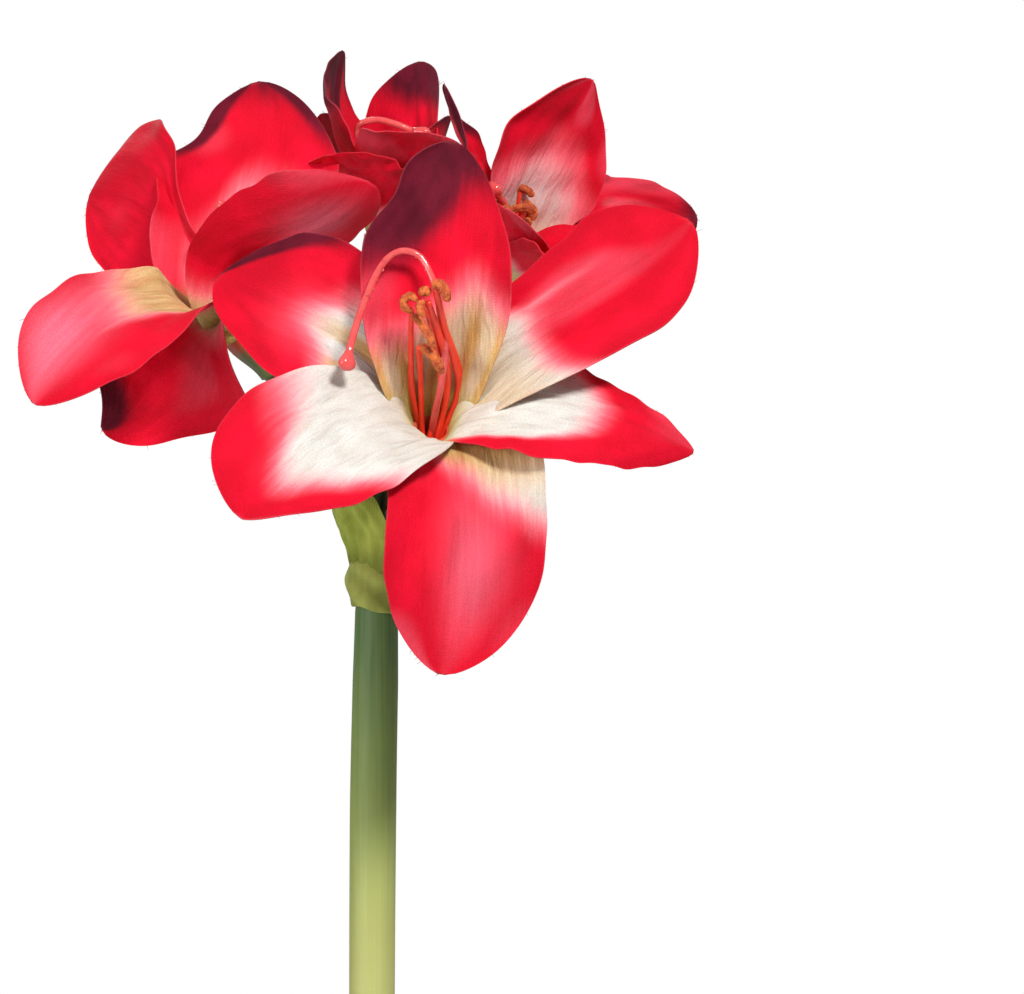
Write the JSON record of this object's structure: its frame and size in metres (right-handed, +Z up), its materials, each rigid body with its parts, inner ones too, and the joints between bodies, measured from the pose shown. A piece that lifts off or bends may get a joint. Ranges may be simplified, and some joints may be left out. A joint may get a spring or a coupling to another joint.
{
  "type": "amaryllis in a pot",
  "caption": "Amaryllis bulb in a terracotta pot with one tall leafless scape carrying a head of red blooms with cream throats.",
  "frame": {"origin": "centre of the pot's flat base, on the surface it stands on", "axes": "+Z up along the scape, -Y towards the front bloom, +X to the right as seen from the front"},
  "size_m": [0.2384, 0.2384, 0.6089],
  "materials": {
    "terracotta": "matte fired clay",
    "soil": "matte crumbly soil",
    "bulb_skin": "papery brown skin",
    "scape": "satin green stem",
    "spathe": "matte yellow-green",
    "tepal": "matte woven red with a cream throat",
    "stamen": "satin red",
    "style": "glossy translucent pink-red"
  },
  "bodies": {
    "root": {"pot": "terracotta", "potting_soil": "soil", "bulb": "bulb_skin", "scape": "scape", "spathe": "spathe", "bloom_front": "tepal", "stamens_front": "stamen", "style_front": "style", "bloom_left": "tepal", "stamens_left": "stamen", "style_left": "style", "bloom_right": "tepal", "stamens_right": "stamen", "style_right": "style", "bloom_back": "tepal", "stamens_back": "stamen", "style_back": "style"}
  },
  "joints": []
}
